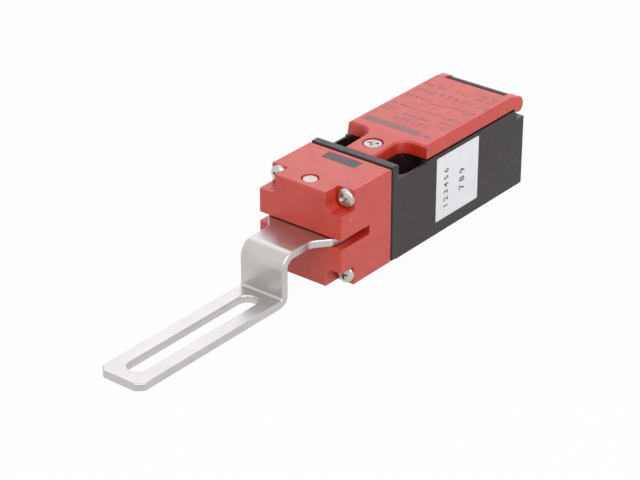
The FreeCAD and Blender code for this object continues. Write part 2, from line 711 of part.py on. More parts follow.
def make_contact_carrier():
    carrier = box(-CARRIER_HALF, CARRIER_HALF, CARRIER_FRONT, CARRIER_REAR, CARRIER_LOW, CARRIER_TOP)
    carrier = bevelled(carrier, CARRIER_BEVEL, lambda b, c: along_y(b))
    cuts = [rod_y(0, SPRING_Z, SPRING_FRONT, CARRIER_REAR + PAST, SPRING_R + SPRING_ROOM)]
    low = BRIDGE_LOW - WINDOW_MARGIN
    high = BRIDGE_TOP + WINDOW_MARGIN
    for pole in POLES:
        front, back = window_span(pole)
        cuts.append(box(-HALF_WIDTH, HALF_WIDTH, front, back, low, high))
    return carrier.cut(cuts)


def make_contact_bridges():
    bars = []
    for pole in POLES:
        front = bridge_front(pole)
        bars.append(box(-BRIDGE_HALF, BRIDGE_HALF, front, front + BRIDGE_THICK, BRIDGE_LOW, BRIDGE_TOP))
    return bars


def make_bridge_springs():
    """Bowed leaves, each between a bar and the far wall of its window."""
    leaves = []
    low = BRIDGE_LOW + LEAF_MARGIN
    height = BRIDGE_TOP - BRIDGE_LOW - 2 * LEAF_MARGIN
    for pole in POLES:
        back = bridge_front(pole)
        out = -1
        if pole != MAKING_POLE:
            back += BRIDGE_THICK
            out = 1
        foot = back + out * LEAF_GAP
        crown = foot + out * LEAF_BOW
        skin = out * LEAF_THICK
        edges = [
            arc(V(-LEAF_HALF, foot, low), V(0, crown, low), V(LEAF_HALF, foot, low)),
            line(V(LEAF_HALF, foot, low), V(LEAF_HALF, foot + skin, low)),
            arc(V(LEAF_HALF, foot + skin, low), V(0, crown + skin, low), V(-LEAF_HALF, foot + skin, low)),
            line(V(-LEAF_HALF, foot + skin, low), V(-LEAF_HALF, foot, low)),
        ]
        leaves.append(prism(edges, V(0, 0, height)))
    return leaves


def make_return_spring():
    """Coil of straight chords with a square wire."""
    clear = SPRING_WIRE_R * math.sqrt(2)
    pitch = (SPRING_REAR - SPRING_FRONT - 2 * clear) / SPRING_TURNS
    points = []
    for i in range(SPRING_TURNS * SPRING_CHORDS + 1):
        turn = i / SPRING_CHORDS
        angle = 2 * math.pi * turn
        y = SPRING_FRONT + clear + pitch * turn
        points.append(V(SPRING_R * math.cos(angle), y, SPRING_Z + SPRING_R * math.sin(angle)))
    path = Part.makePolygon(points)
    along = (points[1] - points[0]).normalize()
    side = along.cross(Y_AXIS).normalize()
    up = side.cross(along)
    corners = [(1, 1), (-1, 1), (-1, -1), (1, -1)]
    section = [points[0] + side * (a * SPRING_WIRE_R) + up * (b * SPRING_WIRE_R) for a, b in corners]
    return path.makePipeShell([Part.Wire(polygon(section))], True, True, 1)


def make_contact_base():
    plate = box(-BLOCK_HALF, BLOCK_HALF, BLOCK_FRONT, BLOCK_REAR, FLOOR, PLATE_Z)
    bank = box(BANK_INNER, BLOCK_HALF, BANK_FRONT, BANK_REAR, PLATE_Z, BANK_Z)
    end_wall = box(-BANK_INNER, BANK_INNER, SPRING_REAR, SPRING_REAR + END_WALL, PLATE_Z, BANK_Z)
    middle = sum(POLES) / len(POLES)
    y0 = middle - BARRIER_THICK / 2
    barrier = box(BRIDGE_HALF + TERMINAL_ROOM, BLOCK_HALF, y0, y0 + BARRIER_THICK, BANK_Z, BARRIER_Z)
    cuts = [rod_z(0, BASE_SCREW_Y, FLOOR - PAST, PLATE_Z + PAST, SMALL_SHANK_R)]
    for pole in POLES:
        inner = TERMINAL_X - SMALL_SHANK_R
        outer = TERMINAL_X + SMALL_SHANK_R
        low = pole - SMALL_SHANK_R
        high = pole + SMALL_SHANK_R
        cuts += both_sides(box(inner, outer, low, high, BANK_Z - POCKET_DEPTH, BANK_Z + PAST))
    return plate.fuse(both_sides(bank) + both_sides(barrier) + [end_wall]).removeSplitter().cut(cuts)


def terminal_fork(pole, z):
    """Cutting solid that opens a plate from its outer end to the terminal screw."""
    r = SMALL_SHANK_R
    return box(TERMINAL_X - r, HALF_WIDTH, pole - r, pole + r, z - PAST, z + STRIP_THICK + PAST)


def make_fixed_contacts():
    """Angle strips: a forked foot under the terminal screw and an upright contact tip."""
    inner = BANK_INNER + STRIP_INSET
    outer = BLOCK_HALF - STRIP_MARGIN
    strips = []
    for pole in POLES:
        front = pole - STRIP_HALF
        tip_y = front
        if pole == MAKING_POLE:
            tip_y = pole + STRIP_HALF - STRIP_THICK
        foot = box(inner, outer, front, pole + STRIP_HALF, BANK_Z, BANK_Z + STRIP_THICK)
        tip = box(inner, BRIDGE_HALF, tip_y, tip_y + STRIP_THICK, BANK_Z, TIP_Z)
        strips += both_sides(foot.fuse(tip).removeSplitter().cut(terminal_fork(pole, BANK_Z)))
    return strips


def make_terminal_clamps():
    inner = BRIDGE_HALF + TERMINAL_ROOM
    outer = BLOCK_HALF - STRIP_MARGIN
    low = BANK_Z + STRIP_THICK
    clamps = []
    for pole in POLES:
        clamp = box(inner, outer, pole - CLAMP_HALF, pole + CLAMP_HALF, low, low + STRIP_THICK)
        clamps += both_sides(clamp.cut(terminal_fork(pole, low)))
    return clamps


def small_screw(head_r, length):
    """Slotted cheese-head screw."""
    return screw(head_r, SMALL_HEAD_HEIGHT, SMALL_SHANK_R, length, slot_recess(head_r))


def make_terminal_screws():
    seat = BANK_Z + 2 * STRIP_THICK
    blank = small_screw(TERMINAL_HEAD_R, TERMINAL_LENGTH)
    return [placed(blank, x, pole, seat) for pole in POLES for x in (-TERMINAL_X, TERMINAL_X)]


def make_contact_base_screw():
    length = PLATE_Z - PAST - TIP_ROOM
    return placed(small_screw(BASE_SCREW_HEAD_R, length), 0, BASE_SCREW_Y, PLATE_Z)


os.makedirs("parts", exist_ok=True)
save("body_case", [make_body_case()])
save("head_case", [make_head_case()])
save("head_gasket", [make_head_gasket()])
save("head_screws", make_head_screws())
save("blanking_plug", [make_blanking_plug()])
save("spindle", [make_spindle()])
save("lever", [make_lever()])
save("cover", [make_cover()])
save("cover_gasket", [make_cover_gasket()])
save("cover_screw", [make_cover_screw()])
save("screw_insert", [make_screw_insert()])
save("pusher", [make_pusher()])
save("pusher_seal", [make_pusher_seal()])
save("contact_carrier", [make_contact_carrier()])
save("contact_bridges", make_contact_bridges())
save("bridge_springs", make_bridge_springs())
save("return_spring", [make_return_spring()])
save("contact_base", [make_contact_base()])
save("fixed_contacts", make_fixed_contacts())
save("terminal_clamps", make_terminal_clamps())
save("terminal_screws", make_terminal_screws())
save("contact_base_screw", [make_contact_base_screw()])
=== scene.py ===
import json
import math

import bmesh
import bpy
from mathutils import Matrix, Vector


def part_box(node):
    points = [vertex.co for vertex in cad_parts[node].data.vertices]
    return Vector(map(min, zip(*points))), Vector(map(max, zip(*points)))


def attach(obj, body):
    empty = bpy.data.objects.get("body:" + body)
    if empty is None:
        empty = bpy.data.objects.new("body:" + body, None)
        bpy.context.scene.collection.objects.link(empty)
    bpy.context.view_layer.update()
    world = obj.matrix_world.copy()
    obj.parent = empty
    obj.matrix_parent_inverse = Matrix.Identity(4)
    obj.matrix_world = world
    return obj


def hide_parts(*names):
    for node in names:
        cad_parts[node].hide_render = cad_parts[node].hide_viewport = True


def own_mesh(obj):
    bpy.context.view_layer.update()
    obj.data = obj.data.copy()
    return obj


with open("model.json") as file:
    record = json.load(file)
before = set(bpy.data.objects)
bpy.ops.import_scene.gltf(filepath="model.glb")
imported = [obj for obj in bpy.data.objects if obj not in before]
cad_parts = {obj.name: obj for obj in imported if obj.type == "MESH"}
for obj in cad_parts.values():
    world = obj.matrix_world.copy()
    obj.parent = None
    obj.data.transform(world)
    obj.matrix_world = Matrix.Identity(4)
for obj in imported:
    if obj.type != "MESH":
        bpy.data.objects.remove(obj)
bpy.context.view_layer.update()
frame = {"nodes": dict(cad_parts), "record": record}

# Safety hinge switch: finish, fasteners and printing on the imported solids.
# Lengths are in millimetres and angles in degrees, unless a comment says otherwise.
# mm() and point() turn lengths into Blender's metres.


def mm(value):
    return value * 0.001


def in_mm(metres):
    return metres * 1000


def point(x, y, z):
    return Vector((mm(x), mm(y), mm(z)))


# Camera
EYE = point(356.9, -471.7, 310.6)
FORWARD = Vector((-0.5516, 0.6909, -0.4673))
LENS = 126.07
SENSOR = 36.0

# Light
AMBIENT = 0.62                  # strength of the sky for the light that falls on the object
PLAIN = (1.0, 1.0, 1.0)         # colours of light
COOL = (1.0, 0.98, 1.08)
# Softboxes: place and size in metres, power in watts, and colour
SOFTBOXES = {
    "back_softbox": ((-0.68, 0.80, 0.62), 1.3, 3.5, COOL),
    "side_softbox": ((0.85, -0.30, 0.80), 0.8, 6.0, PLAIN),
    "front_softbox": ((0.10, -0.85, 0.95), 0.9, 3.8, PLAIN),
}

# Floor
FLOOR_SIZE = 6.0                # in metres
FLOOR_DROP = 0.02               # how far it lies below the object
FLOOR_TONE = 0.74               # share of the light on it that the floor throws back
FLOOR_SHOW = 0.96               # share of plain white in what the camera sees of it

# Noise in the finishes: cycles per metre, detail and roughness
MOULD_CLOUD = (160, 4)
MOULD_DUST = (1500, 2)
MOULD_GLOSS = (420, 5)
MOULD_GRAIN = (2600, 3)
METAL_CLOUD = (120, 4)
METAL_DENTS = (900, 5, 0.65)
SCRATCH_DETAIL = (6, 0.7)       # detail and roughness alone, as each metal has its own scale
FLAT_DETAIL = 4                 # detail alone, as each flat finish has its own scale
# Stretches of a noise's values that a finish spreads out
NARROW = (0.35, 0.65)
WIDE = (0.3, 0.7)
PEAKS = (0.735, 0.775)
FULL = (0, 1)
DUST_SHARE = (0, 0.3)           # how far the specks of dust cover the colour below
# How far the roughness falls below and rises above its middle
MOULD_SPREAD = (0.05, 0.05)
METAL_SPREAD = (0.03, 0.05)
FLAT_SPREAD = (0.06, 0.06)
MOULD_BUMP = 0.12               # strength of the mouldings' grain
MOULD_GRAIN_DEPTH = 0.03
METAL_BUMP = 0.1                # strength of the metals' dents

# Rounded edges: width and steps of each node
LEVER_EDGE = (0.45, 3)
MOULD_EDGE = (0.12, 2)
SMALL_EDGE = (0.08, 2)
EDGES = {
    "lever": LEVER_EDGE,
    "head_case": MOULD_EDGE,
    "body_case": MOULD_EDGE,
    "cover": MOULD_EDGE,
    "blanking_plug": SMALL_EDGE,
    "contact_base": SMALL_EDGE,
    "contact_carrier": SMALL_EDGE,
    "fixed_contacts": SMALL_EDGE,
    "terminal_clamps": SMALL_EDGE,
    "contact_bridges": SMALL_EDGE,
}
CLAMPED = ("cover",)            # nodes with short edges, where a wide round would overlap
NODE_WELD = 0.002               # points of a node nearer than this are one
FLAT_ANGLE = 0.5                # faces that meet at less than this are joined
ROUND_ANGLE = 32                # edges sharper than this are rounded
CREASE_ANGLE = 35               # edges of a made piece sharper than this are shaded as creases
SPECK = 0.0005                  # edges shorter than this are taken out of a mesh

# Screws
HEAD_SCREW_R = 2.85
HEAD_SCREW_HEIGHT = 1.6
HEAD_SCREW_RIM = 0.45           # height of the straight rim under the dome
HEAD_SCREW_CROSS = (4.2, 0.85, 1.2)   # length, width and depth of the cross recess
HEAD_SCREW_TURNS = (28, 62, 8, 20)    # how far each cross is turned
COVER_SCREW_R = 2.75
COVER_SCREW_DOME = 0.25         # height of the shallow dome
COVER_SCREW_CROSS = (5.0, 1.2, 0.85)
COVER_SCREW_TURN = 20
COVER_SCREW_SHANK = 5.9
SHANK_R = 1.5
CROSS_TAPER = 0.4               # length of a cross at its floor, as a share of its mouth
LATHE_STEPS = 48
LATHE_WELD = 0.001              # points of a turned piece nearer than this are one
DOME_STEPS = 9

# Flat outlines
CORNER_STEPS = 6                # steps in a round corner
ELLIPSE_STEPS = 32

# Label on the case
LABEL_FRONT = 11.45
LABEL_REAR = 32.75
LABEL_LOW = 4.1
LABEL_TOP = 24.9
LABEL_ROUND = 0.5
LABEL_THICK = 0.06
# Rows of figures on the label: figures, size and place along the case
LABEL_ROWS = (
    ("1 2 3 4 5 6", 3.0, 16.4),
    ("7 8 9", 3.6, 24.5),
)
LABEL_ROW_Z = 13.7              # height of the middle of each row

# Printing on the cover and the label
PRINT_THICK = 0.02
PRINT_WELD = 0.004              # points of a print nearer than this are one
PRINT_STROKE = 0.32
FIGURE_STEPS = 4                # steps in each curve of a figure
FIGURE_WEIGHT = 0.05            # how far a figure's outline is widened
BAND_LEFT = -12.65
BAND_RIGHT = 7.75
BAND_FRONT = 11.1
BAND_REAR = 14.25
BAND_ROUND = 0.2
DOT_PLACE = (10.5, 12.5)
DOT_HALF = (1.4, 0.9)
# Rows of figures on the cover: figures, size, and place across and along it
COVER_ROWS = (
    ("1 2 3 4 5 6", 2.8, 0.6, 18.0),
    ("10 20 30 40", 2.0, 0.0, 21.6),
    ("7 8 9", 2.0, 10.2, 20.4),
    ("1 2 3", 2.0, -10.4, 21.2),
    ("4 5 6", 2.0, -10.4, 23.6),
    ("1 2 3 4", 1.8, 10.2, 22.9),
    ("0 1 2 3 4 5 6 7", 3.6, 3.4, 39.4),
    ("10 20", 2.2, -10.2, 38.6),
    ("100  200", 2.4, -8.6, 43.8),
    ("1 2 3", 2.2, 1.2, 44.0),
    ("50  60", 2.4, 9.4, 43.4),
    ("70  80", 2.4, 9.4, 46.4),
)

# Circuit signs of the two contacts, printed on the cover
# Place along the cover, whether the contact is closed, and the figures at its right and left end
CONTACTS = (
    (26.4, True, ("11", "12")),
    (33.6, False, ("23", "24")),
)
CONTACT_FIGURE = 2.6            # size of those figures
CONTACT_FIGURE_X = 11.3         # how far they are from the middle of the cover
CONTACT_REACH = 9.0             # half length of a contact's sign
CONTACT_GAP = 3.2               # half of the gap between its leads
BLADE_SHARE = 0.98              # share of that gap that its blade takes up
CONTACT_RISE = 1.7              # how far an open blade stands off
TERMINAL_R = 0.55
TERMINAL_STEPS = 20
LINK_PLACES = (27.7, 29.6, 31.5)   # dashes of the link between the two contacts
LINK_DASH = 1.0

# Gate mark on the head's side
GATE_Y = -29.84
GATE_Z = 21.59
GATE_R = 0.6
GATE_HEIGHT = 0.12

# Thread of the cable entry
THREAD_R = 7.2
THREAD_PITCH = 1.5
THREAD_DEPTH = 0.45
THREAD_SINK = 0.05              # how far the root of the ridge sinks into the wall
THREAD_ROOT = 0.42              # half width of the root, as a share of the pitch
THREAD_CREST = 0.06             # half width of the crest, as a share of the pitch
THREAD_START = 0.5              # where the ridge starts below the mouth, as a share of the pitch
THREAD_STEPS = 48               # steps in one turn

# Return spring of the pusher
SPRING_WIRE_R = 0.35
SPRING_TURNS = 6                # with one closed turn at each end
SPRING_CLOSED = 0.85            # pitch of a closed turn
SPRING_STEPS = 24               # steps in one turn
WIRE_STEPS = 10                 # steps round the wire


# Shader helpers

def opaque(colour):
    return (*colour, 1.0)


def new_material(name):
    material = bpy.data.materials.new(name)
    material.use_nodes = True
    tree = material.node_tree
    return material, tree, tree.nodes["Principled BSDF"]


def add(tree, kind, **values):
    """A node with some of its input sockets set."""
    node = tree.nodes.new(kind)
    for key, value in values.items():
        node.inputs[key].default_value = value
    return node


def noise(tree, scale, detail=3.0, roughness=0.5):
    """Noise over the object's own coordinates; the scale is in cycles per metre."""
    place = add(tree, "ShaderNodeTexCoord")
    texture = add(tree, "ShaderNodeTexNoise", Scale=scale, Detail=detail, Roughness=roughness)
    tree.links.new(place.outputs["Object"], texture.inputs["Vector"])
    return texture.outputs["Fac"]


def remap(tree, value, source, target):
    """Spreads the stretch of values in source, given as low and high, over that in target."""
    node = add(tree, "ShaderNodeMapRange")
    for socket, number in zip(node.inputs[1:5], (*source, *target)):
        socket.default_value = number
    tree.links.new(value, node.inputs["Value"])
    return node.outputs["Result"]


def blend_colours(tree, factor, first, second):
    """Mixes two colours, each given as numbers or as another node's output."""
    node = add(tree, "ShaderNodeMix")
    node.data_type = "RGBA"
    sockets = [s for s in node.inputs if s.type == "RGBA"]
    for socket, colour in zip(sockets, (first, second)):
        if isinstance(colour, bpy.types.NodeSocket):
            tree.links.new(colour, socket)
        else:
            socket.default_value = opaque(colour)
    tree.links.new(factor, node.inputs["Factor"])
    return next(s for s in node.outputs if s.type == "RGBA")


def uneven_gloss(tree, shader, pattern, roughness, spread):
    """Lets the roughness vary with a pattern, by spread below and above its middle."""
    below, above = spread
    gloss = remap(tree, pattern, WIDE, (roughness - below, roughness + above))
    tree.links.new(gloss, shader.inputs["Roughness"])


def bump(tree, shader, height, strength, depth):
    node = add(tree, "ShaderNodeBump", Strength=strength, Distance=mm(depth))
    tree.links.new(height, node.inputs["Height"])
    tree.links.new(node.outputs["Normal"], shader.inputs["Normal"])


# Materials

def moulded_plastic(name, dark, light, speck, roughness, specular=0.5):
    """Semi-matt moulding: cloudy colour, uneven gloss, a fine grain and a few pale specks of dust."""
    material, tree, shader = new_material(name)
    shader.inputs["Specular IOR Level"].default_value = specular
    cloud = remap(tree, noise(tree, *MOULD_CLOUD), NARROW, FULL)
    colour = blend_colours(tree, cloud, dark, light)
    dust = remap(tree, noise(tree, *MOULD_DUST), PEAKS, DUST_SHARE)
    colour = blend_colours(tree, dust, colour, speck)
    tree.links.new(colour, shader.inputs["Base Color"])
    uneven_gloss(tree, shader, noise(tree, *MOULD_GLOSS), roughness, MOULD_SPREAD)
    bump(tree, shader, noise(tree, *MOULD_GRAIN), MOULD_BUMP, MOULD_GRAIN_DEPTH)
    return material


def satin_metal(name, dark, light, roughness, scratch_scale, dents):
    """Tumbled metal: fine scratches in the gloss and a surface with dents of some depth."""
    material, tree, shader = new_material(name)
    shader.inputs["Metallic"].default_value = 1.0
    cloud = remap(tree, noise(tree, *METAL_CLOUD), NARROW, FULL)
    tree.links.new(blend_colours(tree, cloud, dark, light), shader.inputs["Base Color"])
    scratches = noise(tree, scratch_scale, *SCRATCH_DETAIL)
    uneven_gloss(tree, shader, scratches, roughness, METAL_SPREAD)
    bump(tree, shader, noise(tree, *METAL_DENTS), METAL_BUMP, dents)
    return material


def flat_finish(name, dark, light, roughness, scale, specular=0.5):
    """Rubber, paper, ink and the like: cloudy colour, and gloss that varies twice as finely."""
    material, tree, shader = new_material(name)
    shader.inputs["Specular IOR Level"].default_value = specular
    cloud = remap(tree, noise(tree, scale, FLAT_DETAIL), WIDE, FULL)
    tree.links.new(blend_colours(tree, cloud, dark, light), shader.inputs["Base Color"])
    uneven_gloss(tree, shader, noise(tree, 2 * scale), roughness, FLAT_SPREAD)
    return material


# Each moulding: its darkest and lightest colour and that of its specks
DUST = (0.12, 0.1, 0.1)
RED = moulded_plastic(
    "red_moulding", (0.48, 0.019, 0.004), (0.54, 0.025, 0.007), (0.8, 0.3, 0.28),
    roughness=0.42, specular=0.98)
BLACK = moulded_plastic(
    "black_moulding", (0.014, 0.007, 0.008), (0.019, 0.01, 0.011), DUST,
    roughness=0.37, specular=0.4)
PLUG = moulded_plastic(
    "plug_moulding", (0.016, 0.008, 0.012), (0.022, 0.012, 0.017), DUST,
    roughness=0.4, specular=0.64)
WHITE = moulded_plastic(
    "natural_moulding", (0.70, 0.68, 0.62), (0.78, 0.76, 0.71), (0.9, 0.9, 0.88),
    roughness=0.38)
GREY = moulded_plastic(
    "grey_moulding", (0.15, 0.155, 0.16), (0.19, 0.195, 0.20), (0.4, 0.4, 0.4),
    roughness=0.45)

# Each metal and flat finish: its darkest and lightest colour
STEEL = satin_metal(
    "satin_stainless", (0.53, 0.505, 0.495), (0.57, 0.543, 0.533),
    roughness=0.3, scratch_scale=700, dents=0.015)
PLATED = satin_metal(
    "bright_plating", (0.50, 0.48, 0.445), (0.62, 0.60, 0.56),
    roughness=0.34, scratch_scale=2500, dents=0.6)
DULL = satin_metal(
    "dull_plating", (0.36, 0.345, 0.33), (0.52, 0.505, 0.49),
    roughness=0.38, scratch_scale=2500, dents=0.6)
BRASS = satin_metal(
    "plain_brass", (0.68, 0.48, 0.20), (0.75, 0.55, 0.25),
    roughness=0.28, scratch_scale=1500, dents=0.05)
RUBBER = flat_finish(
    "black_rubber", (0.012, 0.012, 0.012), (0.022, 0.022, 0.022),
    roughness=0.6, scale=600)
PAPER = flat_finish(
    "label_white", (0.755, 0.755, 0.79), (0.81, 0.81, 0.84),
    roughness=0.5, scale=300)
INK = flat_finish(
    "grey_ink", (0.17, 0.018, 0.018), (0.20, 0.024, 0.024),
    roughness=0.42, scale=900, specular=0.98)
LABEL_INK = flat_finish(
    "label_ink", (0.06, 0.06, 0.065), (0.11, 0.11, 0.115),
    roughness=0.5, scale=900)
PIN_END = flat_finish(
    "pin_end", (0.60, 0.57, 0.53), (0.66, 0.63, 0.59),
    roughness=0.5, scale=500)
GATE = flat_finish(
    "gate_mark", (0.60, 0.10, 0.09), (0.66, 0.15, 0.13),
    roughness=0.5, scale=1500)

FINISH = {
    "red_plastic": RED,
    "black_plastic": BLACK,
    "white_plastic": WHITE,
    "grey_plastic": GREY,
    "stainless_steel": STEEL,
    "plated_steel": PLATED,
    "brass": BRASS,
    "seal_rubber": RUBBER,
}
OWN_FINISH = {"spindle": PIN_END, "blanking_plug": PLUG}


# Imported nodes

def slot_of(node):
    return next(s["material_slot"] for s in frame["record"]["subparts"] if s["node"] == node)


def finish_nodes():
    """Every node gets its own finish, or else that of its material slot."""
    for name, obj in frame["nodes"].items():
        obj.data.materials.clear()
        obj.data.materials.append(OWN_FINISH.get(name) or FINISH[slot_of(name)])


def soften(node, width, steps):
    """Rounds a node's sharp edges with modifiers, so its own mesh stays as packed."""
    obj = frame["nodes"][node]
    for polygon in obj.data.polygons:
        polygon.use_smooth = True
    weld = obj.modifiers.new("weld", "WELD")
    weld.merge_threshold = mm(NODE_WELD)
    flat = obj.modifiers.new("flat", "DECIMATE")
    flat.decimate_type = "DISSOLVE"
    flat.angle_limit = math.radians(FLAT_ANGLE)
    edge = obj.modifiers.new("edge", "BEVEL")
    edge.width = mm(width)
    edge.segments = steps
    edge.limit_method = "ANGLE"
    edge.angle_limit = math.radians(ROUND_ANGLE)
    edge.use_clamp_overlap = node in CLAMPED
    clean = obj.modifiers.new("clean", "WELD")
    clean.merge_threshold = mm(SPECK)
    obj.modifiers.new("normals", "WEIGHTED_NORMAL")


# Mesh helpers

def put_in_scene(obj):
    bpy.context.scene.collection.objects.link(obj)


def adopt(name, mesh, material, body):
    """Makes a mesh a piece of the object that moves with a body."""
    mesh.materials.clear()
    mesh.materials.append(material)
    obj = bpy.data.objects.new(name, mesh)
    put_in_scene(obj)
    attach(obj, body)
    return obj


def mesh_from(name, bm):
    bmesh.ops.dissolve_degenerate(bm, edges=bm.edges, dist=mm(SPECK))
    bmesh.ops.recalc_face_normals(bm, faces=bm.faces)
    mesh = bpy.data.meshes.new(name)
    bm.to_mesh(mesh)
    bm.free()
    return mesh


def evaluated_mesh(data, modify=None):
    """The final mesh of some object data, with a modifier put on by modify(object)."""
    holder = bpy.data.objects.new("holder", data)
    put_in_scene(holder)
    if modify:
        modify(holder)
    depsgraph = bpy.context.evaluated_depsgraph_get()
    mesh = bpy.data.meshes.new_from_object(holder.evaluated_get(depsgraph))
    bpy.data.objects.remove(holder)
    return mesh


def add_mesh(bm, mesh, matrix):
    start = len(bm.verts)
    bm.from_mesh(mesh)
    bm.verts.ensure_lookup_table()
    bmesh.ops.transform(bm, matrix=matrix, verts=bm.verts[start:])


def frame_matrix(origin, x_axis, y_axis):
    """Places a piece that is drawn in its own plane: x and y axes given, z out of the surface."""
    x_axis = Vector(x_axis)
    y_axis = Vector(y_axis)
    turn = Matrix((x_axis, y_axis, x_axis.cross(y_axis))).transposed()
    return Matrix.Translation(origin) @ turn.to_4x4()


def smooth_with_creases(mesh):
    mesh.shade_smooth()
    mesh.set_sharp_from_angle(angle=math.radians(CREASE_ANGLE))


# Flat outlines

def rounded_rectangle(width, height, radius):
    """Outline of a rectangle with round corners, centred on the origin."""
    outline = []
    for corner, (sx, sy) in enumerate(((1, 1), (-1, 1), (-1, -1), (1, -1))):
        for i in range(CORNER_STEPS + 1):
            angle = math.radians(90 * (corner + i / CORNER_STEPS))
            x = sx * (width / 2 - radius) + radius * math.cos(angle)
            y = sy * (height / 2 - radius) + radius * math.sin(angle)
            outline.append((x, y))
    return outline


def ellipse(half_x, half_y, steps=ELLIPSE_STEPS):
    angles = [2 * math.pi * i / steps for i in range(steps)]
    return [(half_x * math.cos(a), half_y * math.sin(a)) for a in angles]


def bar(start, end, width):
    """Outline of a straight stroke between two points."""
    a = Vector(start)
    b = Vector(end)
    side = (b - a).orthogonal().normalized() * width / 2
    return [tuple(p) for p in (a + side, a - side, b - side, b + side)]


# Turned pieces

def lathe(bm, profile):
    """Turns a profile of (radius, height) points round the Z axis."""
    verts = [bm.verts.new((mm(r), 0, mm(z))) for r, z in profile]
    edges = [bm.edges.new(pair) for pair in zip(verts, verts[1:])]
    bmesh.ops.spin(bm, geom=verts + edges, cent=(0, 0, 0), axis=(0, 0, 1), angle=2 * math.pi,
                   steps=LATHE_STEPS, use_merge=True)
    bmesh.ops.remove_doubles(bm, verts=bm.verts, dist=mm(LATHE_WELD))


def dome(radius, low, high):
    """Profile of an elliptic dome, from its top on the axis down to its rim."""
    angles = [i / DOME_STEPS * math.pi / 2 for i in range(DOME_STEPS + 1)]
    return [(radius * math.sin(a), low + (high - low) * math.cos(a)) for a in angles]


def cross_cutter(top, length, width, depth, turn):
    """Two crossed bars, tapered downwards, that cut a cross recess into a screw's head."""
    bm = bmesh.new()
    clear = depth / 2
    for angle in (turn, turn + 90):
        spin = Matrix.Rotation(math.radians(angle), 3, "Z")
        corners = []
        for z, share in ((top + clear, 1.0), (top - depth, CROSS_TAPER)):
            for sx, sy in ((1, 1), (-1, 1), (-1, -1), (1, -1)):
                corner = point(sx * share * length / 2, sy * width / 2, z)
                corners.append(bm.verts.new(spin @ corner))
        bmesh.ops.convex_hull(bm, input=corners)
    return mesh_from("cutter", bm)


def domed_screw(radius, rim, height, shank_length, cross, turn):
    """Screw on the Z axis: its head stands on z = 0, is domed above the rim and has a cross recess."""
    bm = bmesh.new()
    below = [(radius, 0), (SHANK_R, 0), (SHANK_R, -shank_length), (0, -shank_length)]
    lathe(bm, dome(radius, rim, height) + below)
    blank = mesh_from("blank", bm)
    tool = bpy.data.objects.new("tool", cross_cutter(height, *cross, turn))
    put_in_scene(tool)

    def cut(holder):
        modifier = holder.modifiers.new("cross", "BOOLEAN")
        modifier.object = tool
        modifier.solver = "EXACT"
        modifier.use_self = True

    mesh = evaluated_mesh(blank, cut)
    bpy.data.objects.remove(tool)
    smooth_with_creases(mesh)
    return mesh


def make_head_screws():
    """Four screws with their heads towards the lever, each cross turned its own way."""
    low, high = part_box("head_screws")
    x = high.x - mm(HEAD_SCREW_R)
    heights = (low.z + mm(HEAD_SCREW_R), high.z - mm(HEAD_SCREW_R))
    seat = low.y + mm(HEAD_SCREW_HEIGHT)
    shank = in_mm(high.y - seat)
    places = [Vector((side * x, seat, z)) for side in (-1, 1) for z in heights]
    bm = bmesh.new()
    for place, turn in zip(places, HEAD_SCREW_TURNS):
        mesh = domed_screw(
            HEAD_SCREW_R, HEAD_SCREW_RIM, HEAD_SCREW_HEIGHT, shank, HEAD_SCREW_CROSS, turn)
        add_mesh(bm, mesh, frame_matrix(place, (1, 0, 0), (0, 0, 1)))
    mesh = mesh_from("domed_head_screws", bm)
    piece = adopt("domed_head_screws", mesh, PLATED, "housing")
    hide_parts("head_screws")


def make_cover_screw():
    """The cover's screw, with a nearly flat head that lies level with the tongue."""
    low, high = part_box("cover_screw")
    middle = (low + high) / 2
    height = in_mm(high.z - low.z) - COVER_SCREW_SHANK
    rim = height - COVER_SCREW_DOME
    screw = domed_screw(
        COVER_SCREW_R, rim, height, COVER_SCREW_SHANK, COVER_SCREW_CROSS, COVER_SCREW_TURN)
    bm = bmesh.new()
    add_mesh(bm, screw, Matrix.Translation(Vector((middle.x, middle.y, high.z - mm(height)))))
    mesh = mesh_from("domed_cover_screw", bm)
    piece = adopt("domed_cover_screw", mesh, DULL, "cover")
    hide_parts("cover_screw")


def make_gate_mark():
    """Low round nub that the mould's gate left on the head's right side."""
    nub = bmesh.new()
    lathe(nub, dome(GATE_R, 0, GATE_HEIGHT) + [(0, 0)])
    mesh = mesh_from("nub", nub)
    mesh.shade_smooth()
    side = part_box("head_case")[1].x
    bm = bmesh.new()
    add_mesh(bm, mesh, frame_matrix(Vector((side, mm(GATE_Y), mm(GATE_Z))), (0, 1, 0), (0, 0, 1)))
    adopt("gate_mark", mesh_from("gate_mark", bm), GATE, "housing")


# Coiled pieces

def coil(bm, turns, steps, axis_place, section):
    """A closed tube coiled round an axis along Y, all in metres.

    axis_place(turn) is the point of the axis beside it, and section holds the tube's outline as
    distances out from the axis and along it.
    """
    rings = []
    for i in range(int(turns * steps) + 1):
        turn = i / steps
        angle = 2 * math.pi * turn
        out = Vector((math.cos(angle), 0, math.sin(angle)))
        ring = []
        for outward, along in section:
            ring.append(bm.verts.new(axis_place(turn) + out * outward + Vector((0, along, 0))))
        rings.append(ring)
    for a, b in zip(rings, rings[1:]):
        for k in range(len(section)):
            bm.faces.new((a[k - 1], a[k], b[k], b[k - 1]))
    bm.faces.new(rings[0])
    bm.faces.new(rings[-1])


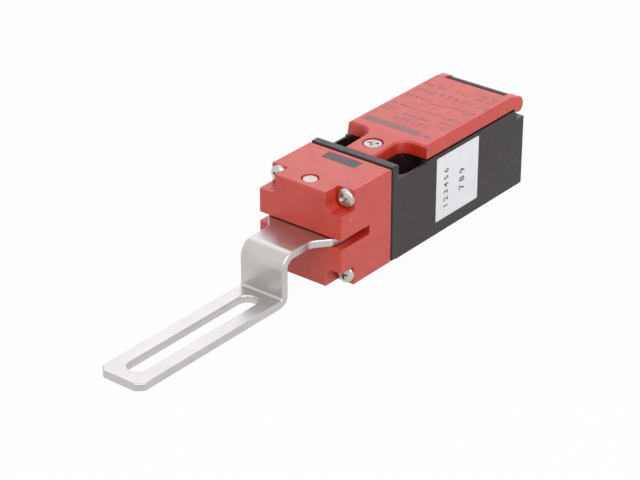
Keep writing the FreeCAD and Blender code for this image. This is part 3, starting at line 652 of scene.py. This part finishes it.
def make_entry_thread():
    """Helical ridge round the wall of the cable entry, whose mount is half-way down the bore."""
    mount = next(m for m in frame["record"]["mounts"] if m["name"] == "cable_entry")
    centre = Vector(mount["pos_m"])
    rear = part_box("body_case")[1].y
    pitch = mm(THREAD_PITCH)
    depth = 2 * (rear - centre.y)
    turns = depth / pitch - 2 * THREAD_START
    root = mm(THREAD_R + THREAD_SINK)
    crest = mm(THREAD_R - THREAD_DEPTH)
    section = (
        (root, -THREAD_ROOT * pitch),
        (crest, -THREAD_CREST * pitch),
        (crest, THREAD_CREST * pitch),
        (root, THREAD_ROOT * pitch),
    )

    def axis_place(turn):
        return Vector((centre.x, rear - pitch * (turn + THREAD_START), centre.z))

    bm = bmesh.new()
    coil(bm, turns, THREAD_STEPS, axis_place, section)
    mesh = mesh_from("entry_thread", bm)
    smooth_with_creases(mesh)
    adopt("entry_thread", mesh, BLACK, "housing")


def spring_height(turn, length):
    """How far along its axis a coil of some length has come after some turns."""
    open_turns = SPRING_TURNS - 2
    open_pitch = (length - 2 * SPRING_CLOSED) / open_turns
    closed = min(turn, 1) + max(turn - 1 - open_turns, 0)
    return SPRING_CLOSED * closed + open_pitch * min(max(turn - 1, 0), open_turns)


def make_return_spring():
    """Coil of round wire, with one closed turn at each end."""
    low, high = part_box("return_spring")
    middle = (low + high) / 2
    wire = mm(SPRING_WIRE_R)
    radius = (high.x - low.x) / 2 - wire
    length = high.y - low.y
    rise = in_mm(length - 2 * wire)
    section = [(radius + x, y) for x, y in ellipse(wire, wire, WIRE_STEPS)]

    def axis_place(turn):
        return Vector((middle.x, low.y + wire + mm(spring_height(turn, rise)), middle.z))

    bm = bmesh.new()
    coil(bm, SPRING_TURNS, SPRING_STEPS, axis_place, section)
    mesh = mesh_from("coiled_spring", bm)
    mesh.shade_smooth()
    piece = adopt("coiled_spring", mesh, STEEL, "housing")
    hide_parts("return_spring")
    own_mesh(piece)


# Label and printing

def sheet(bm, outline, thick, matrix):
    """A thin flat piece: an outline in its own plane, raised by its thickness."""
    low = [bm.verts.new(matrix @ point(x, y, 0)) for x, y in outline]
    high = [bm.verts.new(matrix @ point(x, y, thick)) for x, y in outline]
    bm.faces.new(low)
    bm.faces.new(high)
    for i in range(len(outline)):
        bm.faces.new((low[i - 1], low[i], high[i], high[i - 1]))


def digits(bm, figures, size, matrix):
    """Raised plain figures, centred on the matrix's origin.

    They are drawn with a millimetre as a metre, so that no point is lost, and then scaled down.
    """
    curve = bpy.data.curves.new("figures", "FONT")
    curve.body = figures
    curve.size = size
    curve.resolution_u = FIGURE_STEPS
    curve.extrude = PRINT_THICK
    curve.offset = FIGURE_WEIGHT
    curve.align_x = "CENTER"
    curve.align_y = "CENTER"
    add_mesh(bm, evaluated_mesh(curve), matrix @ Matrix.Scale(mm(1), 4))


def adopt_print(name, bm, material, body):
    """Makes thin raised pieces into one print, with the figures' faces joined at their edges."""
    bmesh.ops.remove_doubles(bm, verts=bm.verts, dist=mm(PRINT_WELD))
    adopt(name, mesh_from(name, bm), material, body)


def label_plane(y, z):
    """Place on the label's face; figures there are read from below upwards."""
    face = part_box("body_case")[1].x + mm(LABEL_THICK)
    return frame_matrix(Vector((face, mm(y), mm(z))), (0, 0, 1), (0, -1, 0))


def make_label():
    """White label with round corners and two rows of plain figures."""
    bm = bmesh.new()
    middle = label_plane((LABEL_FRONT + LABEL_REAR) / 2, (LABEL_LOW + LABEL_TOP) / 2)
    outline = rounded_rectangle(LABEL_TOP - LABEL_LOW, LABEL_REAR - LABEL_FRONT, LABEL_ROUND)
    sheet(bm, outline, LABEL_THICK, middle @ Matrix.Translation(point(0, 0, -LABEL_THICK)))
    adopt("side_label", mesh_from("side_label", bm), PAPER, "housing")
    ink = bmesh.new()
    for figures, size, y in LABEL_ROWS:
        digits(ink, figures, size, label_plane(y, LABEL_ROW_Z))
    adopt_print("label_print", ink, LABEL_INK, "housing")


def cover_plane(x, y):
    """Place on the cover's top; figures there are read from the cable entry's side."""
    return frame_matrix(Vector((mm(x), mm(y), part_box("cover")[1].z)), (-1, 0, 0), (0, -1, 0))


def contact_sign(bm, matrix, closed):
    """A plain circuit sign for one contact: two leads, their terminals and a blade."""
    rise = 0.0 if closed else CONTACT_RISE
    blade = BLADE_SHARE * CONTACT_GAP
    strokes = (
        ((-CONTACT_REACH, 0), (-CONTACT_GAP, 0)),
        ((CONTACT_GAP, 0), (CONTACT_REACH, 0)),
        ((-blade, 0), (blade, rise)),
    )
    for start, end in strokes:
        sheet(bm, bar(start, end, PRINT_STROKE), PRINT_THICK, matrix)
    for side in (-1, 1):
        terminal = matrix @ Matrix.Translation(point(side * CONTACT_REACH, 0, 0))
        sheet(bm, ellipse(TERMINAL_R, TERMINAL_R, TERMINAL_STEPS), PRINT_THICK, terminal)


def make_cover_print():
    """Grey print: a plain band, a dot, rows of plain figures and the signs of the two contacts."""
    bm = bmesh.new()
    middle = cover_plane((BAND_LEFT + BAND_RIGHT) / 2, (BAND_FRONT + BAND_REAR) / 2)
    band = rounded_rectangle(BAND_RIGHT - BAND_LEFT, BAND_REAR - BAND_FRONT, BAND_ROUND)
    sheet(bm, band, PRINT_THICK, middle)
    sheet(bm, ellipse(*DOT_HALF), PRINT_THICK, cover_plane(*DOT_PLACE))
    for figures, size, x, y in COVER_ROWS:
        digits(bm, figures, size, cover_plane(x, y))
    for y, closed, ends in CONTACTS:
        contact_sign(bm, cover_plane(0, y), closed)
        for side, figures in zip((1, -1), ends):
            digits(bm, figures, CONTACT_FIGURE, cover_plane(side * CONTACT_FIGURE_X, y))
    dash = bar((0, -LINK_DASH / 2), (0, LINK_DASH / 2), PRINT_STROKE)
    for y in LINK_PLACES:
        sheet(bm, dash, PRINT_THICK, cover_plane(0, y))
    adopt_print("cover_print", bm, INK, "cover")


finish_nodes()
for node, (width, steps) in EDGES.items():
    soften(node, width, steps)
make_head_screws()
make_cover_screw()
make_gate_mark()
make_entry_thread()
make_return_spring()
make_label()
make_cover_print()


# Stage

def seen_directly(tree):
    """One for rays from the camera and for mirrored and refracted ones, nought for the rest."""
    path = add(tree, "ShaderNodeLightPath")
    total = path.outputs["Is Camera Ray"]
    for name in ("Is Glossy Ray", "Is Transmission Ray"):
        node = add(tree, "ShaderNodeMath")
        node.operation = "MAXIMUM"
        tree.links.new(total, node.inputs[0])
        tree.links.new(path.outputs[name], node.inputs[1])
        total = node.outputs[0]
    return total


def make_floor():
    """Matt floor that takes the shadows and is nearly plain white where it is seen directly."""
    bm = bmesh.new()
    bmesh.ops.create_grid(bm, x_segments=1, y_segments=1, size=FLOOR_SIZE / 2)
    floor = bpy.data.objects.new("floor", mesh_from("floor", bm))
    floor.location = point(0, 0, -FLOOR_DROP)
    put_in_scene(floor)
    material, tree, shader = new_material("pale_floor")
    tree.nodes.remove(shader)
    matt = add(tree, "ShaderNodeBsdfDiffuse", Color=opaque([FLOOR_TONE] * 3))
    white = add(tree, "ShaderNodeEmission", Color=opaque(PLAIN), Strength=1.0)
    mix = add(tree, "ShaderNodeMixShader")
    tree.links.new(remap(tree, seen_directly(tree), FULL, (0, FLOOR_SHOW)), mix.inputs[0])
    tree.links.new(matt.outputs[0], mix.inputs[1])
    tree.links.new(white.outputs[0], mix.inputs[2])
    tree.links.new(mix.outputs[0], tree.nodes["Material Output"].inputs["Surface"])
    floor.data.materials.append(material)


def make_world():
    """White sky that is dimmer as a light than where it is seen directly."""
    world = bpy.data.worlds.new("studio")
    bpy.context.scene.world = world
    world.use_nodes = True
    tree = world.node_tree
    background = tree.nodes["Background"]
    background.inputs["Color"].default_value = opaque(PLAIN)
    strength = remap(tree, seen_directly(tree), FULL, (AMBIENT, 1.0))
    tree.links.new(strength, background.inputs["Strength"])


def softbox(name, place, size, power, colour):
    """Square area light that faces the object."""
    light = bpy.data.lights.new(name, "AREA")
    light.shape = "SQUARE"
    light.size = size
    light.energy = power
    light.color = colour
    obj = bpy.data.objects.new(name, light)
    obj.location = place
    obj.rotation_euler = (-Vector(place)).to_track_quat("-Z", "Y").to_euler()
    put_in_scene(obj)


def make_camera():
    data = bpy.data.cameras.new("camera")
    data.lens = LENS
    data.sensor_width = SENSOR
    obj = bpy.data.objects.new("camera", data)
    obj.location = EYE
    obj.rotation_euler = FORWARD.to_track_quat("-Z", "Y").to_euler()
    put_in_scene(obj)
    bpy.context.scene.camera = obj


make_floor()
make_world()
for name, values in SOFTBOXES.items():
    softbox(name, *values)
make_camera()
bpy.context.scene.view_settings.view_transform = "Standard"
